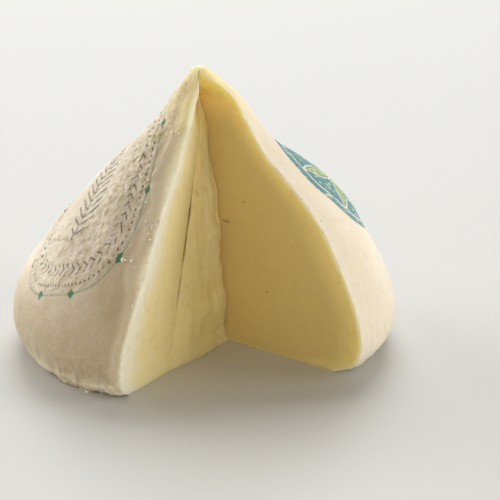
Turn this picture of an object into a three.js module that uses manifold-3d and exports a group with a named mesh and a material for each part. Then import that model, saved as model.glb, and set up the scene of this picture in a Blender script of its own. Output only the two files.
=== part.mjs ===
// A tetilla cheese: one squat, breast-shaped cone of soft cow's milk cheese with a wedge cut out of it.
// Millimetres, +Z up. The origin is the middle of the base, and the cut opens towards -Y.

import * as THREE from 'three';
import { mergeVertices } from 'three/addons/utils/BufferGeometryUtils.js';
import Module from 'manifold-3d';

// Driving dimensions of the whole cheese
const HEIGHT = 106.5;
const BELLY_RADIUS = 72.5;

// The flank, from the edge of the base to the tip, in shares of the belly radius and of the height
const FLANK = {
  baseEdge: [0.845, 0],
  baseRound: [0.96, 0.042],
  belly: [1, 0.128],
  overBelly: [0.952, 0.264],
  shoulder: [0.828, 0.404],
  waist: [0.656, 0.549],
  neck: [0.42, 0.695],
  nipple: [0.226, 0.845],
  tipRound: [0.058, 0.98],
  tip: [0, 1],
};

// The waist stands out on one side, and the tip leans the other way: azimuth says towards which side
const WAIST_BULGE = { reach: 3.2, height: 57, spread: 15, azimuth: 75 };
const TIP_LEAN = { reach: 1.2, height: HEIGHT, spread: 6, azimuth: -105 };

// The cut: two upright planes that cross near the axis, each shifted sideways by its offset
const LEFT_CUT = { azimuth: -35.3, offset: 1.2 };
const RIGHT_CUT = { azimuth: 36, offset: 2.2 };

// The heel of torn paste in the corner of the cut: its size at the base, and how it thins out upwards
const HEEL_HEIGHT = 99;
const HEEL_ALONG_LEFT = { length: 38, taper: 0.97 };
const HEEL_ALONG_RIGHT = { length: 10.5, taper: 0.7 };
const HEEL_SWELL = 0.8;
const HEEL_STEP = 1.2;
const HEEL_TIP_SHARE = 0.015;

// Fineness of the solid, and how far a cutter reaches past what it cuts
const TURN_STEPS = 96;
const FLANK_STEPS = 30;
const HEEL_STEPS = 14;
const HEEL_FACE_STEPS = 5;
const OVERCUT = 8;
const HEEL_BITE = 0.4;
const MERGE_DISTANCE = 1e-4;

const wasm = await Module();
wasm.setup();

// A geometry's faces as a closed solid, ready to be cut or joined
function toSolid(geometry) {
  geometry.deleteAttribute('normal');
  geometry.deleteAttribute('uv');
  const merged = mergeVertices(geometry, MERGE_DISTANCE);
  const vertProperties = new Float32Array(merged.attributes.position.array);
  const triVerts = new Uint32Array(merged.index.array);
  return new wasm.Manifold(new wasm.Mesh({ numProp: 3, vertProperties, triVerts }));
}

function toGeometry(solid) {
  const mesh = solid.getMesh();
  const geometry = new THREE.BufferGeometry();
  geometry.setAttribute('position', new THREE.BufferAttribute(new Float32Array(mesh.vertProperties), 3));
  geometry.setIndex(new THREE.BufferAttribute(new Uint32Array(mesh.triVerts), 1));
  geometry.computeVertexNormals();
  return geometry;
}

// Moves every vertex of a geometry by a rule
function reshape(geometry, rule) {
  const place = geometry.attributes.position;
  const point = new THREE.Vector3();
  for (let i = 0; i < place.count; i += 1) {
    rule(point.fromBufferAttribute(place, i));
    place.setXYZ(i, point.x, point.y, point.z);
  }
  return geometry;
}

// Plan direction at an azimuth: 0 points along -Y, and it grows towards +X
function heading(azimuth) {
  const angle = THREE.MathUtils.degToRad(azimuth);
  return new THREE.Vector2(Math.sin(angle), -Math.cos(angle));
}

// A sideways shift of the skin that fades above and below one height, as a bell curve
function addLean(point, lean) {
  const fade = Math.exp(-(((point.z - lean.height) / lean.spread) ** 2));
  const side = heading(lean.azimuth);
  point.x += side.x * lean.reach * fade;
  point.y += side.y * lean.reach * fade;
}

// The uncut cheese: its flank is a smooth curve turned about the axis
function wholeCheese() {
  const stations = Object.values(FLANK).map(
    ([radiusShare, heightShare]) => new THREE.Vector2(radiusShare * BELLY_RADIUS, heightShare * HEIGHT),
  );
  const flank = new THREE.SplineCurve(stations).getPoints(FLANK_STEPS);
  const outline = [new THREE.Vector2(0, 0), ...flank];
  const cone = new THREE.LatheGeometry(outline, TURN_STEPS).rotateX(Math.PI / 2);
  reshape(cone, (point) => {
    addLean(point, WAIST_BULGE);
    addLean(point, TIP_LEAN);
  });
  return toSolid(cone);
}

// The plan point at a distance from the axis along one cut plane
function alongCut(cut, distance) {
  const way = heading(cut.azimuth);
  const across = new THREE.Vector2(-way.y, way.x);
  return way.multiplyScalar(distance).addScaledVector(across, cut.offset);
}

// Where the two cut planes cross, in plan
function cutCorner() {
  const left = alongCut(LEFT_CUT, 0);
  const right = alongCut(RIGHT_CUT, 0);
  const leftWay = heading(LEFT_CUT.azimuth);
  const rightWay = heading(RIGHT_CUT.azimuth);
  const distance = right.sub(left).cross(rightWay) / leftWay.cross(rightWay);
  return left.addScaledVector(leftWay, distance);
}

// The space between the two cut planes, out past the skin, the tip and the base
function wedge() {
  const reach = 2 * BELLY_RADIUS;
  const plan = new THREE.Shape([
    cutCorner(),
    alongCut(LEFT_CUT, reach),
    alongCut(RIGHT_CUT, reach),
  ]);
  const depth = HEIGHT + 2 * OVERCUT;
  const prism = new THREE.ExtrudeGeometry(plan, { depth, bevelEnabled: false });
  return toSolid(prism.translate(0, 0, -OVERCUT));
}

// The heel of torn paste. Its plan is drawn in shares of its two sides, so that (1, 0) lies on the left
// cut and (0, 1) on the right cut, where its swollen face ends in a step, and each side thins out upwards
// by its own taper.
function heel() {
  const corner = cutCorner();
  const leftSide = alongCut(LEFT_CUT, HEEL_ALONG_LEFT.length).sub(corner);
  const rightSide = alongCut(RIGHT_CUT, HEEL_ALONG_RIGHT.length).sub(corner);
  const middle = 0.5 + HEEL_SWELL / HEEL_ALONG_RIGHT.length;
  const plan = new THREE.Shape();
  plan.moveTo(-HEEL_BITE, -HEEL_BITE);
  plan.lineTo(1 + HEEL_BITE, -HEEL_BITE);
  plan.lineTo(1, 0);
  plan.quadraticCurveTo(middle, middle, HEEL_STEP / HEEL_ALONG_LEFT.length, 1);
  plan.lineTo(-HEEL_BITE, 1);
  const prism = new THREE.ExtrudeGeometry(plan, {
    depth: HEEL_HEIGHT + OVERCUT,
    steps: HEEL_STEPS,
    curveSegments: HEEL_FACE_STEPS,
    bevelEnabled: false,
  });
  prism.translate(0, 0, -OVERCUT);
  reshape(prism, (point) => {
    const below = THREE.MathUtils.clamp(1 - point.z / HEEL_HEIGHT, HEEL_TIP_SHARE, 1);
    const left = point.x * below ** HEEL_ALONG_LEFT.taper;
    const right = point.y * below ** HEEL_ALONG_RIGHT.taper;
    point.x = corner.x + leftSide.x * left + rightSide.x * right;
    point.y = corner.y + leftSide.y * left + rightSide.y * right;
  });
  return toSolid(prism);
}

const paste = new THREE.MeshStandardMaterial({ color: 0xe6d9b4, roughness: 0.55, metalness: 0 });
const notch = wedge().subtract(heel());
const cheese = new THREE.Mesh(toGeometry(wholeCheese().subtract(notch)), paste);
cheese.name = 'cheese';

const group = new THREE.Group();
group.add(cheese);

export default group;
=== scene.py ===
"""A tetilla cheese with a wedge cut out: its rind, its torn paste, the printed ornament and its crumbs."""
import math
from types import SimpleNamespace

import bpy
import numpy as np
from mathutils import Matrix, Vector


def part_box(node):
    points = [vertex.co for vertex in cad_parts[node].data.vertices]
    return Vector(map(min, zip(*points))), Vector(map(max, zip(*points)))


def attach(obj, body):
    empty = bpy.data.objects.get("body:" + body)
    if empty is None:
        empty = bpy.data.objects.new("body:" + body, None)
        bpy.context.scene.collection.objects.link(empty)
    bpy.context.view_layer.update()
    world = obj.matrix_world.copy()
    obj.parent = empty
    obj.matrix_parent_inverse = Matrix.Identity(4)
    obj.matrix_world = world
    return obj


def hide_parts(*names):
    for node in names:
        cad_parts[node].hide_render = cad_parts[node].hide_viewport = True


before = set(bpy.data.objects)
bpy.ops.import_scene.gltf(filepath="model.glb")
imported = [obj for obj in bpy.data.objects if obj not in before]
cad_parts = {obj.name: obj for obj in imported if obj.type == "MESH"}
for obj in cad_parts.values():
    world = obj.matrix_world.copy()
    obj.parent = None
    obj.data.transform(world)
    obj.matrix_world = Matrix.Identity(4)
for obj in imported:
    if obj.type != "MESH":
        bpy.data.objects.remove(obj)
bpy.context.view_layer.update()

# The frame is in metres, and the shapes below are worked out in millimetres
MM = 0.001
node_low, node_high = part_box("cheese")
HEIGHT = (node_high.z - node_low.z) / MM
BELLY_RADIUS = (node_high.x - node_low.x) / 2 / MM

# The flank, from the edge of the base to the tip, in shares of the belly radius and of the height
FLANK = np.array([
    (0.845, 0.0),
    (0.96, 0.042),
    (1.0, 0.128),
    (0.952, 0.264),
    (0.828, 0.404),
    (0.656, 0.549),
    (0.42, 0.695),
    (0.226, 0.845),
    (0.058, 0.98),
    (0.0, 1.0),
])

# The waist stands out on one side and the tip leans the other way: reach, height, spread, azimuth
WAIST_BULGE = (3.2, 57.0, 15.0, 75.0)
TIP_LEAN = (0.8, HEIGHT, 6.0, -105.0)

# Broad swellings and hollows of the skin: reach, height, spread, azimuth, spread round the axis. They grow in
# from the tip between two radii of a level.
SWELLINGS = (
    (2.1, 96.0, 9.0, 85.0, 50.0),
    (-1.6, 77.0, 7.0, 85.0, 50.0),
    (-1.4, 88.0, 6.0, 248.0, 50.0),
    (-1.4, 80.0, 8.0, 248.0, 50.0),
    (-0.9, 57.0, 8.0, 248.0, 45.0),
    (0.6, 67.0, 6.0, 248.0, 50.0),
    (-1.9, 37.0, 9.5, 248.0, 45.0),
    (0.9, 62.0, 9.0, 288.0, 15.0),
    (4.5, 0.0, 5.0, 303.0, 28.0),
)
SWELLING_RADII = (2.0, 9.0)

# The cut: azimuth of each upright plane and its sideways offset from the axis
LEFT_CUT = (-35.3, 1.2)
RIGHT_CUT = (36.0, 2.2)

# How far each lip of the cut is rounded along the skin and along the cut face. The left lip changes to a
# second pair between two heights, and towards the tip it narrows on the skin to a share. The right lip is
# softer by one more length near the tip.
LEFT_LIP = (3.0, 2.2)
LEFT_LIP_HIGHER = (6.0, 3.4)
LEFT_LIP_WIDENS = (15.0, 55.0)
LEFT_LIP_NARROWS = (78.0, 94.0)
LEFT_LIP_NARROWED = 0.5
RIGHT_LIP = (1.0, 1.2)
RIGHT_LIP_NEAR_TIP = 1.0
RIGHT_LIP_SOFTENS = (84.0, 100.0)

# The most that a lip takes: of the skin in radians, less for the left lip near the tip, and of the cut face
# as a share
LIP_MOST_TURN = 0.4
LEFT_LIP_TIP_TURN = 0.15
LEFT_LIP_TIP_HEIGHTS = (90.0, 100.0)
LEFT_LIP_MOST = 0.28
RIGHT_LIP_MOST = 0.35

# How much the lips' rounding varies, as a share, and over which length
LIP_FRAY = 0.3
LIP_FRAY_SIZE = 9.0

# Towards the base the left cut bows out to the left: by how much, and from which height down
LEFT_BOW = 5.0
LEFT_BOW_HEIGHT = 50.0

# Below the tip it stands a little to the right instead: by how much, at which height, over which spread
LEFT_TIP_BOW = (0.4, 88.0, 5.0)

# Below the tip the right cut runs further in than lower down, and then turns outward: how far and by how many
# degrees, each between two heights
TIP_NOTCH = 4.0
TIP_NOTCH_HEIGHTS = (82.0, 95.0)
TIP_NOTCH_TURN = 36.0
TIP_NOTCH_TURN_HEIGHTS = (94.3, 103.6)

# The cut's corner comes out to the skin at one azimuth as a level's radius goes from one length to the other.
# Its distance from the middle as a share of the radius: the most before that, and where it ends.
TIP_NOTCH_AZIMUTH = -22.0
TIP_NOTCH_RADII = (13.0, 4.2)
CORNER_MOST_OUT = 0.75
CORNER_SHUT = 0.985

# The heel of torn paste in the corner of the cut: its height, its reach along each cut at the base, the power
# by which each reach thins out upwards, and the share that is left at its top
HEEL_HEIGHT = 99.0
HEEL_LEFT = 40.0
HEEL_RIGHT = 9.8
HEEL_LEFT_TAPER = 0.97
HEEL_RIGHT_TAPER = 0.7
HEEL_TIP_SHARE = 0.004

# Along the right cut it is drawn in to a share between two heights, and it wavers: share and length
HEEL_NECK = 0.1
HEEL_NECK_HEIGHTS = (77.0, 58.0)
HEEL_WAVER = 0.1
HEEL_WAVER_SIZE = 9.0

# The most of each cut that it covers, as a share
HEEL_MOST_LEFT = 0.8
HEEL_MOST_RIGHT = 0.5

# Its face swells, at most by a share of its width. It ends on the right in a step, at most a share of its
# reach there, and the step goes down to a share higher up, between two heights.
HEEL_SWELL = 1.6
HEEL_SWELL_MOST = 0.1
HEEL_STEP = 1.3
HEEL_STEP_MOST = 0.35
HEEL_STEP_HIGHER = 0.12
HEEL_STEP_HEIGHTS = (80.0, 62.0)

# The slit at the heel's left edge: depth, distance from the edge, spread, and where it opens and closes
SLIT_DEPTH = 1.6
SLIT_PLACE = 0.2
SLIT_WIDTH = 0.2
SLIT_OPENS = (14.0, 30.0)
SLIT_CLOSES = (72.0, 60.0)

# The flap of paste over the heel's right half: share of the way across where it starts, how gradually, the
# shares where it ends on the right, the heights of its two ends, how far they fade, its thickness, and the
# fold across it: height at the slit, rise to the right, how far it stands out and its spread
FLAP_START = 0.5
FLAP_EDGE = 0.05
FLAP_RIGHT = (1.0, 0.94)
FLAP_ENDS = (24.0, 82.0)
FLAP_FADE = 8.0
FLAP_THICKNESS = 0.25
FLAP_FOLD = (41.0, 5.0, 0.8, 0.8)

# The depth that the paste's colour follows. A flank counts as at least so upright, and at the base the depth
# starts at nothing and grows so fast. Torn paste counts as deeper than it lies, partly painted shade towards
# the corner of the cut: its depth at the slit, the power by which it grows towards the slit, the most of its
# own depth, and the share lost across the heel, which paints the heel's right side paler as painted light.
LEAST_UPRIGHT = 0.3
BASE_DEPTH_GROWTH = 8.0
TORN_DEPTH_AND_SHADE = 46.0
TORN_DEPTH_AND_SHADE_POWER = 1.6
TORN_OWN_DEPTH = 3.0
HEEL_PAINTED_LIGHT = 0.55

# Where the rind takes painted shade, as a darker copy of itself: behind, from and to which azimuths, each as
# a fade, and on the left, from which share of the skin's columns, a little later low down
PAINTED_SHADE_BEHIND_FROM = (98.0, 130.0)
PAINTED_SHADE_BEHIND_TO = (258.0, 222.0)
PAINTED_SHADE_LEFT = (0.38, 0.85)
PAINTED_SHADE_LATER = 0.06
PAINTED_SHADE_LATER_HEIGHTS = (60.0, 25.0)

# Folds of the rind round the left print: azimuth and height of both ends, bow, rise and spread
FOLDS = [
    (299.0, 86.0, 268.0, 76.0, 1.5, 0.75, 0.8),
    (303.0, 81.5, 280.0, 72.5, -1.2, 0.5, 0.6),
    (306.0, 57.5, 297.0, 57.0, 0.4, 0.7, 0.7),
    (267.0, 43.0, 296.0, 46.5, 3.2, 0.7, 1.1),
    (305.5, 46.2, 310.0, 47.0, 0.4, 0.7, 0.7),
]
FOLDS += [(300.0, 66.0 + 2 * k, 287.0, 66.5 + 2.2 * k, 0.3, 0.4, 0.5) for k in range(5)]

# Puckers of the rind at the prints: how far they stand out, the half sizes of the left patch and the shares
# of them where it fades, and the radii where the right patch fades
WREATH_PUCKERS = 0.38
WREATH_PATCH = (44.0, 30.0)
WREATH_PATCH_FADE = (1.15, 0.8)
ROSETTE_PUCKERS = 0.2
ROSETTE_PATCH_FADE = (30.0, 18.0)

# The foot: upright creases and the heights where they fade, then the ragged rim, its tears and the heights
# where it fades, then the heights where the skirt that spreads on the floor fades, and its longest tatter:
# reach, distance from the left lip, spread and the azimuths where it starts
FOOT_CREASES = 0.26
FOOT_CREASE_HEIGHTS = (32.0, 10.0)
RAGGED_RIM = 0.85
RIM_TEARS = 0.7
RIM_HEIGHTS = (7.0, 0.5)
SKIRT_HEIGHTS = (2.2, 0.4)
LONG_TATTER = (2.6, 3.0, 1.1)
LONG_TATTER_FROM = (270.0, 300.0)

# Fineness of the surface: levels from base to tip, how much closer they lie at both ends and over which
# length, and columns round each level
LEVELS = 200
OUTLINE_STEPS = 6001
BASE_CROWDING = 1.6
TIP_CROWDING = 0.8
CROWDING_SPREAD = 7.0
SKIN_RIGHT, SKIN_BACK, SKIN_LEFT = 70, 88, 160
SKIN = SKIN_RIGHT + SKIN_BACK + SKIN_LEFT
SKIN_SHARES = (0.0, 0.26, 0.64, 1.0)
LIP, LEFT_FACE, HEEL_FACE, STEP_FACE, RIGHT_FACE = 12, 36, 36, 4, 56
CUT_FACES = LEFT_FACE + HEEL_FACE + STEP_FACE + RIGHT_FACE
COLUMNS = SKIN + LIP + CUT_FACES + LIP
LEFT_FACE_COLUMNS = slice(SKIN + LIP, SKIN + LIP + LEFT_FACE)
HEEL_COLUMNS = slice(SKIN + LIP + LEFT_FACE, SKIN + LIP + LEFT_FACE + HEEL_FACE)

# Rings of the base as shares of the way in, and where they meet
BASE_RINGS = (0.006, 0.03, 0.12, 0.35, 0.7)
BASE_MIDDLE = (0.0, 22.0, 0.0)

# The radii of a level between which its columns come to lie evenly round it, the angle past which an edge of
# the mesh stays sharp, and a distance for what is nowhere near
SPREAD_RADII = (1.6, 0.5)
SHARP_ANGLE = 60.0
FAR_OFF = 99.0

# The rind unrolled from the tip like a cone: degrees on the sheet for each degree round the axis. A print's
# place on it is its azimuth, its slant from the tip and its turn, with half sizes or a radius.
UNROLL = 0.62
WREATH = {"azimuth": 271.0, "slant": 62.5, "turn": 32.0, "width": 26.0, "height": 43.0}
ROSETTE = {"azimuth": 91.0, "slant": 66.5, "turn": 12.0, "radius": 24.5}

# The wreath: how many lozenges, leaf strokes and dots go round it, a lozenge's half sizes, where the strokes
# and dots lie as shares of the oval, the oval's power, and the ear of grain: half width, how fast it narrows,
# half length, pitch and slope of its grains
WREATH_LOZENGES = 10
LOZENGE_HALF = (1.9, 1.6)
WREATH_LEAVES = 52
WREATH_DOTS = 98
LEAF_RING = 0.78
DOT_RING = 0.92
OVAL_POWER = 3.0
EAR_WIDTH = 7.4
EAR_NARROWING = 0.013
EAR_LENGTH = 22.5
GRAIN_PITCH = 3.6
GRAIN_SLOPE = 0.8

# The rosette: how many petals it has, their reach as a share of the disc, and as shares of that reach the
# radius of its ring, and the place of its dots along and across a petal
PETALS = 6
PETAL_REACH = 0.84
ROSETTE_RING = 1.03
ROSETTE_DOT = (0.66, 0.38)

# Small cracks in the right cut face and one pit in the heel, darkened with painted shade: middle, half
# length, half height, darkness
CRACKS = (
    ((7.3, -6.3, 47.7), 2.4, 0.55, 0.7),
    ((12.4, -13.3, 57.1), 0.9, 0.35, 0.6),
    ((19.0, -22.5, 24.0), 0.8, 0.4, 0.6),
    ((-4.9, -11.0, 61.5), 1.3, 1.8, 0.22),
)

# Where crumbs cling, by the left lip's outer and inner side, the left and right foot, the front left corner
# and the right lip: how many, first and last column, lowest and highest place, size as a share
CRUMB_STRIPS = (
    (9, SKIN - 8, SKIN + 3, 45.0, 95.0, 1.3),
    (30, SKIN + 2, SKIN + 8, 4.0, 66.0, 0.85),
    (34, SKIN - 130, SKIN + 4, 0.2, 3.0, 1.0),
    (26, 4, SKIN - 130, 0.2, 3.0, 1.0),
    (9, SKIN - 22, SKIN + 3, 0.1, 1.6, 2.2),
    (18, 0, 3, 25.0, 88.0, 0.7),
)

# A crumb's least and greatest half sizes, how much it tilts, how lumpy it is, and its rings and sides
CRUMB_LEAST = (0.3, 0.25, 0.15)
CRUMB_MOST = (0.8, 0.6, 0.35)
CRUMB_TILT = 0.25
CRUMB_LUMPS = 0.45
CRUMB_RINGS, CRUMB_SIDES = 5, 11


def smooth_step(start, end, x):
    """Rises from 0 at start to 1 at end along a cubic with level ends."""
    t = np.clip((x - start) / (end - start), 0, 1)
    return t * t * (3 - 2 * t)


def between(start, end, share):
    """The value at a share of the way from start to end."""
    return start + (end - start) * share


def bell(x, middle, spread):
    """A bell curve of height 1."""
    return np.exp(-(((x - middle) / spread) ** 2))


def heading(azimuth):
    """Plan direction at an azimuth in degrees: 0 points along -Y, and it grows towards +X."""
    angle = np.radians(azimuth)
    return np.stack([np.sin(angle), -np.cos(angle)], -1)


def lattice_noise(points, size, seed):
    """Random values from -1 to 1 at the corners of a lattice, joined by a smooth quintic step."""
    side = 32
    table = np.random.default_rng(seed).uniform(-1, 1, (side, side, side))
    cell = np.floor(points / size).astype(int)
    t = points / size - cell
    t = t ** 3 * (t * (t * 6 - 15) + 10)
    total = np.zeros(points.shape[:-1])
    for corner in np.ndindex(2, 2, 2):
        weight = np.prod(np.where(corner, t, 1 - t), axis=-1)
        i, j, k = np.moveaxis((cell + corner) % side, -1, 0)
        total += weight * table[i, j, k]
    return total


def layered_noise(points, size, layers, seed):
    """Lattice noise summed over layers, each half as large and half as strong as the one before."""
    shares = [0.5 ** k for k in range(layers)]
    return sum(s * lattice_noise(points, size * s, seed + k) for k, s in enumerate(shares))


def ridge_noise(points, size, seed):
    """Sharp ridges: 1 along the lines where layered noise crosses zero, and falling off beside them."""
    return 1 - np.minimum(np.abs(layered_noise(points, size, 2, seed)) * 3, 1)


def axis_shift(height):
    """Plan place of the middle of a level: each lean fades above and below its height as a bell curve."""
    leans = (WAIST_BULGE, TIP_LEAN)
    return sum(r * bell(height, h, s)[:, None] * heading(a) for r, h, s, a in leans)


def flank_levels():
    """Radius, height, slant from the tip, uprightness and middle of each level.

    The outline is a uniform Catmull-Rom curve through the stations. Levels are spread along it by length,
    closer together at the base and at the tip, and the last one stops just short of the tip.
    """
    stations = FLANK * (BELLY_RADIUS, HEIGHT)
    last = len(stations) - 1
    t = np.linspace(0, last, OUTLINE_STEPS)[:, None]
    i = np.minimum(t.astype(int), last - 1)[:, 0]
    t = t - i[:, None]
    before, start, end, after = (stations[np.clip(i + k, 0, last)] for k in (-1, 0, 1, 2))
    leave, arrive = (end - before) / 2, (after - start) / 2
    curve = (2 * start - 2 * end + leave + arrive) * t ** 3
    curve += (3 * end - 3 * start - 2 * leave - arrive) * t ** 2 + leave * t + start
    length = np.concatenate([[0], np.cumsum(np.hypot(*np.diff(curve, axis=0).T))])
    whole = length[-1]
    crowding = 1 + BASE_CROWDING * bell(length, 0, CROWDING_SPREAD)
    crowding += TIP_CROWDING * bell(length, whole, CROWDING_SPREAD)
    rank = np.cumsum(crowding)
    rank = (rank - rank[0]) / (rank[-1] - rank[0])
    at = np.interp(np.linspace(0, 1, LEVELS + 1)[:-1], rank, length)
    radius, height = (np.interp(at, length, c) for c in curve.T)
    return SimpleNamespace(
        radius=radius,
        height=height,
        slant=whole - at,
        upright=np.interp(at, length, np.gradient(curve[:, 1], length)),
        middle=axis_shift(height),
    )


def cut_line(cut):
    """One cut plane in plan: the way it runs out from the axis, and the unit normal to its right."""
    way = heading(cut[0])
    return way, np.array([-way[1], way[0]])


def cut_corner():
    """Where the two cut planes cross in plan."""
    normals = np.array([cut_line(LEFT_CUT)[1], cut_line(RIGHT_CUT)[1]])
    return np.linalg.solve(normals, [LEFT_CUT[1], RIGHT_CUT[1]])


def closing_corner(corner, level):
    """The corner of the cut at each level: inside the skin, and coming out to it where the cut ends.

    Its offset from the middle is held to a share of the radius. Towards the tip the place is mixed with one
    just inside the skin.
    """
    middle, radius = level.middle, level.radius[:, None]
    offset = corner - middle
    far = np.linalg.norm(offset, axis=1, keepdims=True)
    inside = middle + offset * np.minimum(1, CORNER_MOST_OUT * radius / far)
    outside = middle + heading(TIP_NOTCH_AZIMUTH) * CORNER_SHUT * radius
    shut = smooth_step(*TIP_NOTCH_RADII, radius)
    return inside * (1 - shut) + outside * shut


def skin_radius(radius, height, azimuth):
    """Distance from the middle of a level to the skin: the flank's radius plus the swellings.

    Each swelling is a bell curve in height times a bell curve round the axis, and all fade out at the tip.
    """
    swell = sum(
        reach * bell(height, up, spread) * bell(azimuth, side, turn)
        for reach, up, spread, side, turn in SWELLINGS
    )
    return radius + swell * smooth_step(*SWELLING_RADII, radius)


def azimuth_from(middle, place):
    """Azimuth in degrees, from 0 to 360, of a place in plan about the middle of its level."""
    turn = place - middle
    return np.degrees(np.arctan2(turn[..., 0], -turn[..., 1])) % 360


def run_to_skin(start, way, middle, radius):
    """How far a line in plan runs from a point inside a level's circle until it meets the circle."""
    along = ((middle - start) * way).sum(-1)
    off = ((middle - start) ** 2).sum(-1) - along ** 2
    return along + np.sqrt(np.maximum(radius ** 2 - off, 0))


def lip_place(corner, way, level):
    """Where a cut meets the skin: its crossing with a circle, found again for the swollen radius there."""
    reach = level.radius
    for _ in range(4):
        place = corner + way * run_to_skin(corner, way, level.middle, reach)[:, None]
        reach = skin_radius(level.radius, level.height, azimuth_from(level.middle, place))
    return place


def cut_form(level):
    """The cut at each level: its inner corner, and for each side the way it runs, its end and its length.

    The left side is moved by its bows, which are a smooth step towards the base and a bell curve below the
    tip. There the right side also starts further in and is turned, both by smooth steps.
    """
    height = level.height
    left_way, left_normal = cut_line(LEFT_CUT)
    right_way = heading(RIGHT_CUT[0] + TIP_NOTCH_TURN * smooth_step(*TIP_NOTCH_TURN_HEIGHTS, height))
    further_in = TIP_NOTCH * smooth_step(*TIP_NOTCH_HEIGHTS, height)[:, None]
    bow = LEFT_BOW * smooth_step(LEFT_BOW_HEIGHT, 0, height)
    bow = (bow - LEFT_TIP_BOW[0] * bell(height, *LEFT_TIP_BOW[1:]))[:, None]
    outer = closing_corner(cut_corner() - left_normal * bow, level)
    inner = closing_corner(cut_corner() - right_way * further_in, level)
    left_edge = lip_place(outer, left_way, level)
    right_edge = lip_place(inner, right_way, level)
    return SimpleNamespace(
        inner=inner,
        left_way=left_way,
        right_way=right_way,
        left_edge=left_edge,
        right_edge=right_edge,
        left_run=np.linalg.norm(left_edge - inner, axis=1),
        right_run=np.linalg.norm(right_edge - inner, axis=1),
    )


def lip_form(level, cut):
    """The rounded lips at each level: azimuths where the skin starts and ends, and where the cut faces end.

    Each lip's rounding is a length that changes with height and frays by noise, held to a most.
    """
    height, radius = level.height, level.radius
    upward = np.stack([height * 0, height * 0, height], -1)
    fray = 1 + LIP_FRAY * lattice_noise(upward, LIP_FRAY_SIZE, seed=11)
    widened = smooth_step(*LEFT_LIP_WIDENS, height)
    left_skin, left_inside = (between(*pair, widened) for pair in zip(LEFT_LIP, LEFT_LIP_HIGHER))
    left_skin = left_skin * between(1, LEFT_LIP_NARROWED, smooth_step(*LEFT_LIP_NARROWS, height))
    left_most = between(LIP_MOST_TURN, LEFT_LIP_TIP_TURN, smooth_step(*LEFT_LIP_TIP_HEIGHTS, height))
    left_turn = np.minimum(left_skin * fray / radius, left_most)
    left_soft = np.minimum(left_inside * fray, LEFT_LIP_MOST * cut.left_run)
    near_tip = RIGHT_LIP_NEAR_TIP * smooth_step(*RIGHT_LIP_SOFTENS, height)
    right_turn = np.minimum((RIGHT_LIP[0] * fray + near_tip) / radius, LIP_MOST_TURN)
    right_soft = np.minimum(RIGHT_LIP[1] * fray + near_tip, RIGHT_LIP_MOST * cut.right_run)
    first = azimuth_from(level.middle, cut.right_edge) + np.degrees(right_turn)
    last = azimuth_from(level.middle, cut.left_edge) - np.degrees(left_turn)
    return SimpleNamespace(
        first=np.where(first > 180, first - 360, first),
        last=np.where(last < 180, last + 360, last),
        left_from=cut.left_edge - cut.left_way * left_soft[:, None],
        right_from=cut.right_edge - cut.right_way * right_soft[:, None],
    )


def straight(start, end, shares):
    """Points from start towards end at the given shares of the way, one row for each level."""
    return start[:, None] + (end - start)[:, None] * shares[:, None]


def rounded(start, corner, end, shares):
    """A rounded corner: the parabola from start to end that the corner pulls on."""
    t = shares[:, None]
    return (1 - t) ** 2 * start[:, None] + 2 * t * (1 - t) * corner[:, None] + t ** 2 * end[:, None]


def even(count):
    """Equal shares of a stretch, from its start up to just before its end."""
    return np.arange(count) / count


def heel_runs(height, cut):
    """How far the heel reaches from the corner along each cut, held to a share of the cut.

    Each reach is a power of the share of the heel's height that is still above. The right one also narrows
    to a neck by a smooth step, and wavers by noise.
    """
    above = np.clip(1 - height / HEEL_HEIGHT, HEEL_TIP_SHARE, 1)
    neck = between(HEEL_NECK, 1, smooth_step(*HEEL_NECK_HEIGHTS, height))
    sideways = np.stack([height, height * 0, height * 0], -1)
    waver = 1 + HEEL_WAVER * layered_noise(sideways, HEEL_WAVER_SIZE, layers=3, seed=12)
    left = HEEL_LEFT * above ** HEEL_LEFT_TAPER
    right = HEEL_RIGHT * above ** HEEL_RIGHT_TAPER * neck * waver
    return np.minimum(left, HEEL_MOST_LEFT * cut.left_run), np.minimum(right, HEEL_MOST_RIGHT * cut.right_run)


def heel_form(level, cut):
    """The heel at each level: its face, from the slit on the left to the step on the right, and its width.

    The face's columns are crowded at both ends by a cosine, and it swells as a parabola.
    """
    left_run, right_run = heel_runs(level.height, cut)
    left = cut.inner + cut.left_way * left_run[:, None]
    right = cut.inner + cut.right_way * right_run[:, None]
    step = HEEL_STEP * between(HEEL_STEP_HIGHER, 1, smooth_step(*HEEL_STEP_HEIGHTS, level.height))
    proud = np.minimum(step, HEEL_STEP_MOST * right_run)[:, None]
    end = right - cut_line(RIGHT_CUT)[1] * proud
    across = (1 - np.cos(np.pi * even(HEEL_FACE))) / 2
    way = end - left
    width = np.linalg.norm(way, axis=1)[:, None]
    out = np.stack([way[:, 1], -way[:, 0]], -1) / width
    swell = np.minimum(HEEL_SWELL, HEEL_SWELL_MOST * width) * 4 * across * (1 - across)
    face = straight(left, end, across) + out[:, None] * swell[..., None]
    return SimpleNamespace(face=face, left=left, right=right, end=end, width=width, across=across)


def skin_shares():
    """Shares of the way round the skin, from right lip to left lip, densest on the left flank."""
    edges = np.cumsum((0, SKIN_RIGHT, SKIN_BACK, SKIN_LEFT))
    return np.interp(np.arange(SKIN), edges, SKIN_SHARES)


def spread_at_tip(plan, level, first):
    """Spreads the columns of the small levels below the tip evenly round their circles.

    Each column's turn from the first one is mixed with an equal share of the full turn, so that no two
    columns fall on one another where the cut has closed.
    """
    middle, radius = level.middle[:, None], level.radius[:, None]
    turn = (azimuth_from(middle, plan) - first) % 360
    turn[:, 0] = 0
    share = smooth_step(*SPREAD_RADII, radius)
    turn = turn * (1 - share) + 360 * even(COLUMNS) * share
    circle = middle + heading(first + turn) * radius[..., None]
    return np.where(share[..., None] > 0, circle, plan)


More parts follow.
